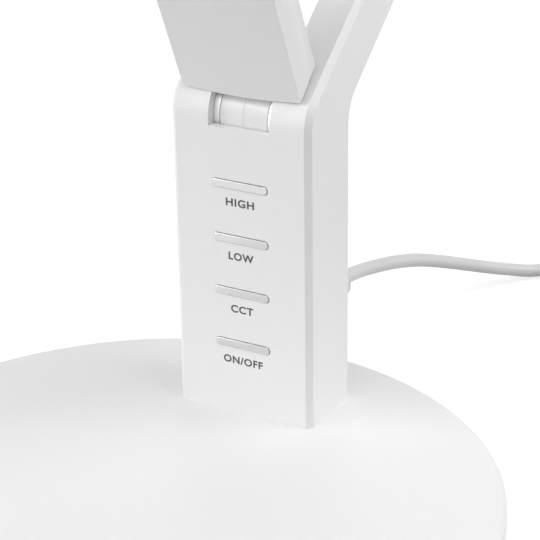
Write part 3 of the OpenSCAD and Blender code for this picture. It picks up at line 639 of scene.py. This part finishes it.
class LAMP_OT_cord(bpy.types.Operator):
    """Makes the mains cord with its strain relief, coil, tie and plug"""

    bl_idname = "lamp.cord"
    bl_label = "Cord and plug"

    def execute(self, context):
        settings = context.scene.lamp_cord
        line = cord_line(settings)
        keep = np.concatenate([[True], np.linalg.norm(np.diff(line, axis=0), axis=1) > 1e-6])
        line = line[keep]
        rings = tube_rings(line, settings.diameter / 2, CORD_SIDES)
        cord = lofted("mains_cord", rings, "cord_rubber", "column")
        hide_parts("cord", "cord_coil", "cord_tail")
        gland = finished_node("cable_gland", 0.00012)
        tie = finished_node("coil_tie", 0.0002)
        plug = self.plug(line[-1])
        pins = self.plug_pins()
        return {"FINISHED"}

    def plug(self, entry):
        """Flat two-pin plug: superellipses along Y that swell from the boot to the body.

        A ring at y is (a cos^(2/n) t, b sin^(2/n) t), with half width a, half height b and n from
        round to boxy. A station is y, a, b and n; four grooves run round the boot.
        """
        low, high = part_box("plug")
        body = (high[0] - low[0]) / 2 - 0.0002
        thick = (high[2] - low[2]) / 2 - 0.0001
        length = high[1] - low[1]
        stations = [(0.0, 0.0043, 0.0043, 2.0), (0.3 * MM, 0.0045, 0.0045, 2.0)]
        for ring in range(4):
            y = (1.5 + 2.2 * ring) * MM
            stations += [(y, 0.0045, 0.0045, 2.0), (y + 0.1 * MM, 0.0038, 0.0038, 2.0),
                         (y + 1.0 * MM, 0.0038, 0.0038, 2.0), (y + 1.1 * MM, 0.0045, 0.0045, 2.0)]
        stations += [(10.2 * MM, 0.0052, 0.0048, 2.0), (11.5 * MM, 0.0078, 0.0058, 2.3),
                     (14.0 * MM, 0.0108, 0.0064, 2.8), (18.0 * MM, 0.0142, thick, 3.6),
                     (24.0 * MM, body, thick, 5.0), (length - 4.0 * MM, body, thick, 5.0),
                     (length - 1.2 * MM, body * 0.985, thick, 5.0),
                     (length - 0.4 * MM, body * 0.965, thick * 0.97, 5.0),
                     (length, body * 0.93, thick * 0.92, 5.0)]
        y, a, b, n = np.array(stations).T
        t = (np.arange(PLUG_SIDES) * 2 * math.pi / PLUG_SIDES)[None, :]
        c, s = np.cos(t), np.sin(t)
        power = 2 / n[:, None]
        x = a[:, None] * np.sign(c) * np.abs(c)**power
        z = b[:, None] * np.sign(s) * np.abs(s)**power
        middle_x = (low[0] + high[0]) / 2
        middle_z = (low[2] + high[2]) / 2
        along = np.broadcast_to(low[1] + y[:, None], x.shape)
        rings = np.stack([middle_x + x, along, middle_z + z], axis=-1)
        plug = lofted("plug_body", rings, "cord_rubber", "column", 30.0)
        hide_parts("plug")
        return plug

    def plug_pins(self):
        """Two round pins: an insulated sleeve at the root, then metal with a domed tip."""
        low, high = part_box("plug_pins")
        r = (high[2] - low[2]) / 2
        reach = high[1] - low[1]
        sleeve = reach * 0.52
        made = []
        for x, side in ((low[0] + r, "left"), (high[0] - r, "right")):
            root = (x, low[1], low[2] + r)
            skin = [(0, 0), (r - 0.00005, 0), (r, 0.0001), (r, sleeve - 0.0002),
                    (r - 0.0002, sleeve), (0, sleeve)]
            metal = [(0, sleeve), (r - 0.0001, sleeve), (r - 0.0001, reach - r)]
            metal += arc((0, reach - r), r - 0.0001, 0, 90, 9)[1:]
            parts = (("sleeve", skin, "cord_rubber"), ("pin", metal, "pin_brass"))
            for part, profile, material in parts:
                rings = revolved_rings(profile, root, (0, 1, 0), PIN_SIDES)
                piece = lofted(f"plug_{part}_{side}", rings, material, "column")
                made.append(piece)
        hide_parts("plug_pins")
        return made


class LAMP_OT_base(bpy.types.Operator):
    """Makes the round base with its pad and weight"""

    bl_idname = "lamp.base"
    bl_label = "Base"

    def execute(self, context):
        finished_node("base_cover", 0)
        finished_node("base_pad")
        for node in ("base_weight", "base_screws"):
            dress_node(node)
        return {"FINISHED"}


class LAMP_OT_column(bpy.types.Operator):
    """Makes the forked column with its back cover, boards and screws"""

    bl_idname = "lamp.column"
    bl_label = "Column"

    def execute(self, context):
        finished_node("column_housing", 0.0005, 3)
        finished_node("column_cover")
        finished_node("cover_screws", 0.0001)
        for node in (
                "column_screws", "control_board", "board_screws", "tact_switches", "driver_board"):
            dress_node(node)
        return {"FINISHED"}


class LAMP_OT_buttons(bpy.types.Operator):
    """Makes the four push buttons"""

    bl_idname = "lamp.buttons"
    bl_label = "Buttons"

    def execute(self, context):
        for name in ("high", "low", "cct", "power"):
            finished_node(f"button_{name}", 0.0002, 3)
            dress_node(f"plunger_{name}")
        return {"FINISHED"}


class LAMP_OT_labels(bpy.types.Operator):
    """Prints the four labels under the buttons"""

    bl_idname = "lamp.labels"
    bl_label = "Labels"

    def execute(self, context):
        sizes = context.scene.lamp_labels
        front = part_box("column_housing")[0][1]
        for name, word, width in WORDS:
            low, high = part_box(f"button_{name}")
            height = (low[2] + high[2]) / 2 - sizes.drop
            self.label(context, name, word, width * MM, height, front, sizes)
        return {"FINISHED"}

    def label(self, context, name, word, width, height, front, sizes):
        """One word as a thin slab of ink on the column's front, centred under its button."""
        curve = bpy.data.curves.new(f"text_{name}", "FONT")
        curve.body = word
        curve.size = 1.0
        curve.offset = sizes.boldness
        curve.space_character = sizes.spacing
        curve.align_x = "CENTER"
        curve.resolution_u = 6
        writer = bpy.data.objects.new(f"writer_{name}", curve)
        context.scene.collection.objects.link(writer)
        context.view_layer.update()
        written = writer.evaluated_get(context.evaluated_depsgraph_get())
        mesh = bpy.data.meshes.new_from_object(written)
        bpy.data.objects.remove(writer)
        points = np.zeros(len(mesh.vertices) * 3)
        mesh.vertices.foreach_get("co", points)
        points = points.reshape(-1, 3)
        low, high = points.min(0), points.max(0)
        middle = (low + high) / 2
        x = (points[:, 0] - middle[0]) * width / (high[0] - low[0])
        z = (points[:, 1] - middle[1]) * sizes.cap_height / (high[1] - low[1]) + height
        y = np.full(len(points), front)
        mesh.vertices.foreach_set("co", np.stack([x, y, z], axis=-1).ravel())
        form = bmesh.new()
        form.from_mesh(mesh)
        bmesh.ops.remove_doubles(form, verts=form.verts, dist=OWN_MERGE)
        bmesh.ops.recalc_face_normals(form, faces=form.faces)
        raised = bmesh.ops.extrude_face_region(form, geom=form.faces[:])
        lifted = [item for item in raised["geom"] if isinstance(item, bmesh.types.BMVert)]
        bmesh.ops.translate(form, verts=lifted, vec=(0, -sizes.ink_depth, 0))
        bmesh.ops.recalc_face_normals(form, faces=form.faces)
        form.to_mesh(mesh)
        form.free()
        mesh.update()
        new_object(f"label_{name}", mesh, "ink", "column", 30.0)


class LAMP_OT_hinges(bpy.types.Operator):
    """Makes the barrels, washers and pins of the three hinges"""

    bl_idname = "lamp.hinges"
    bl_label = "Hinges"

    def execute(self, context):
        for hinge in ("low", "elbow", "head"):
            finished_node(f"{hinge}_washers", 0.0001)
            dress_node(f"{hinge}_pin")
        for limb, hinge in (("low", "low"), ("arm", "elbow"), ("head", "head")):
            for side in ("left", "right"):
                finished_node(f"{limb}_knuckle_{side}", 0.00008, material="gloss_plastic",
                              reshape=self.closer_seam(f"{hinge}_pin"))
        return {"FINISHED"}

    def closer_seam(self, pin):
        """Shrinks the bevel where two barrel halves meet to a fine line.

        The bevel runs from the meeting face at x = 0 to the barrel. Round the pin's axis its
        points on the face move out along their radius, and those on the barrel move in along x.
        """
        low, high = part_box(pin)
        axis = np.array([(low[1] + high[1]) / 2, (low[2] + high[2]) / 2])

        def reshape(points):
            points = points.copy()
            out = points[:, 1:] - axis
            r = np.linalg.norm(out, axis=1)
            x = np.abs(points[:, 0])
            rim = (np.abs(x - BARREL_EDGE) < SEAM_MATCH) & (r > BEYOND_BORE)
            barrel = np.median(r[rim])
            points[rim, 0] = np.sign(points[rim, 0]) * SEAM_EDGE
            inner = (x < FACE_MATCH) & (np.abs(r - barrel + BARREL_EDGE) < SEAM_MATCH)
            growth = (barrel - SEAM_EDGE) / r[inner]
            points[inner, 1:] = axis + out[inner] * growth[:, None]
            return points
        return reshape


class LAMP_OT_limbs(bpy.types.Operator):
    """Makes the low light bar, the arm and the light head"""

    bl_idname = "lamp.limbs"
    bl_label = "Light bars and arm"

    def execute(self, context):
        for node in (
                "low_diffuser", "low_housing", "arm_front", "arm_back", "head_diffuser",
                "head_housing"):
            finished_node(node)
        for node in (
                "low_led_board", "head_led_board", "low_neck_screws", "arm_neck_screws",
                "head_neck_screws"):
            dress_node(node)
        return {"FINISHED"}


class LAMP_OT_studio(bpy.types.Operator):
    """Sets the floor, the softboxes and the sky"""

    bl_idname = "lamp.studio"
    bl_label = "Studio"

    def execute(self, context):
        studio = context.scene.lamp_studio
        self.floor(context, studio)
        self.sky(context, studio)
        for name, direction, size, power in SOFTBOXES:
            place = FOCUS + Vector(direction).normalized() * LIGHT_DISTANCE
            self.softbox(context, name, place, size, power * studio.level)
        context.scene.view_settings.view_transform = "Standard"
        return {"FINISHED"}

    def floor(self, context, studio):
        """Wide pale floor. Camera and mirrors see it as white paper; its shadows stay.

        Its share of lit paper falls smoothly with the distance from the lamp, from half the
        shadow's reach to the whole of it, and beyond that it is plain white.
        """
        half = FLOOR_HALF
        corners = [(-half, -half, 0), (half, -half, 0), (half, half, 0), (-half, half, 0)]
        mesh = bpy.data.meshes.new("floor_form")
        mesh.from_pydata(corners, [], [(0, 1, 2, 3)])
        floor = bpy.data.objects.new("floor", mesh)
        context.scene.collection.objects.link(floor)
        finish = Finish(bpy.data.materials.new("floor_paper"))
        finish.surface(Base_Color=tuple(studio.floor), Roughness=0.9)
        glow = finish.node("ShaderNodeEmission", inputs={
            "Color": WHITE, "Strength": finish.seen() * studio.paper})
        near = finish.node("ShaderNodeAddShader", inputs={
            0: finish.out(finish.shader, 0), 1: finish.out(glow, 0)})
        far = finish.node("ShaderNodeEmission", inputs={
            "Color": WHITE, "Strength": finish.seen()})
        away = finish.node("ShaderNodeVectorMath", {"operation": "LENGTH"}, {0: finish.place()})
        fade = finish.node("ShaderNodeMapRange", {"interpolation_type": "SMOOTHSTEP"}, {
            "Value": finish.out(away, "Value"), "From Min": studio.shadow_reach / 2,
            "From Max": studio.shadow_reach})
        paper = finish.node("ShaderNodeMixShader", inputs={
            0: finish.out(fade, "Result"), 1: finish.out(near, 0), 2: finish.out(far, 0)})
        output = finish.tree.nodes["Material Output"]
        finish.feed(output.inputs["Surface"], finish.out(paper, 0))
        mesh.materials.append(finish.material)

    def sky(self, context, studio):
        """Faint even light from all round, which camera and mirrors see as white."""
        world = bpy.data.worlds.new("studio_sky")
        context.scene.world = world
        finish = Finish(world, "Background")
        strength = finish.node("ShaderNodeMix", inputs={0: finish.seen(), 2: studio.sky, 3: 1.0})
        finish.surface(Color=WHITE, Strength=finish.out(strength, 0))

    def softbox(self, context, name, place, size, power):
        """A square area light that faces the lamp."""
        data = bpy.data.lights.new(name, "AREA")
        data.shape = "SQUARE"
        data.size = size
        data.energy = power
        light = bpy.data.objects.new(name, data)
        light.location = place
        light.rotation_mode = "QUATERNION"
        light.rotation_quaternion = (FOCUS - place).to_track_quat("-Z", "Y")
        context.scene.collection.objects.link(light)


class LAMP_PT_workshop(bpy.types.Panel):
    """Steps and settings of the lamp."""

    bl_idname = "LAMP_PT_workshop"
    bl_label = "Desk lamp"
    bl_space_type = "VIEW_3D"
    bl_region_type = "UI"
    bl_category = "Lamp"

    def draw(self, context):
        for step in STEPS:
            self.layout.operator(step.bl_idname)
        for group in SETTINGS:
            box = self.layout.box()
            settings = getattr(context.scene, group)
            for name in settings.__annotations__:
                box.prop(settings, name)


STEPS = (
    LAMP_OT_finishes, LAMP_OT_camera, LAMP_OT_cord, LAMP_OT_base, LAMP_OT_column, LAMP_OT_buttons,
    LAMP_OT_labels, LAMP_OT_hinges, LAMP_OT_limbs, LAMP_OT_studio,
)
SETTINGS = {
    "lamp_finishes": LampFinishes,
    "lamp_labels": LampLabels,
    "lamp_cord": LampCord,
    "lamp_studio": LampStudio,
}


def register():
    for group in SETTINGS.values():
        bpy.utils.register_class(group)
    for name, group in SETTINGS.items():
        setattr(bpy.types.Scene, name, PointerProperty(type=group))
    for step in STEPS:
        bpy.utils.register_class(step)
    bpy.utils.register_class(LAMP_PT_workshop)


def unregister():
    bpy.utils.unregister_class(LAMP_PT_workshop)
    for step in reversed(STEPS):
        bpy.utils.unregister_class(step)
    for name, group in SETTINGS.items():
        delattr(bpy.types.Scene, name)
        bpy.utils.unregister_class(group)


def main():
    """Runs every step in order."""
    register()
    bpy.ops.lamp.finishes()
    bpy.ops.lamp.camera()
    bpy.ops.lamp.cord()
    bpy.ops.lamp.base()
    bpy.ops.lamp.column()
    bpy.ops.lamp.buttons()
    bpy.ops.lamp.labels()
    bpy.ops.lamp.hinges()
    bpy.ops.lamp.limbs()
    bpy.ops.lamp.studio()


if __name__ == "__main__":
    main()
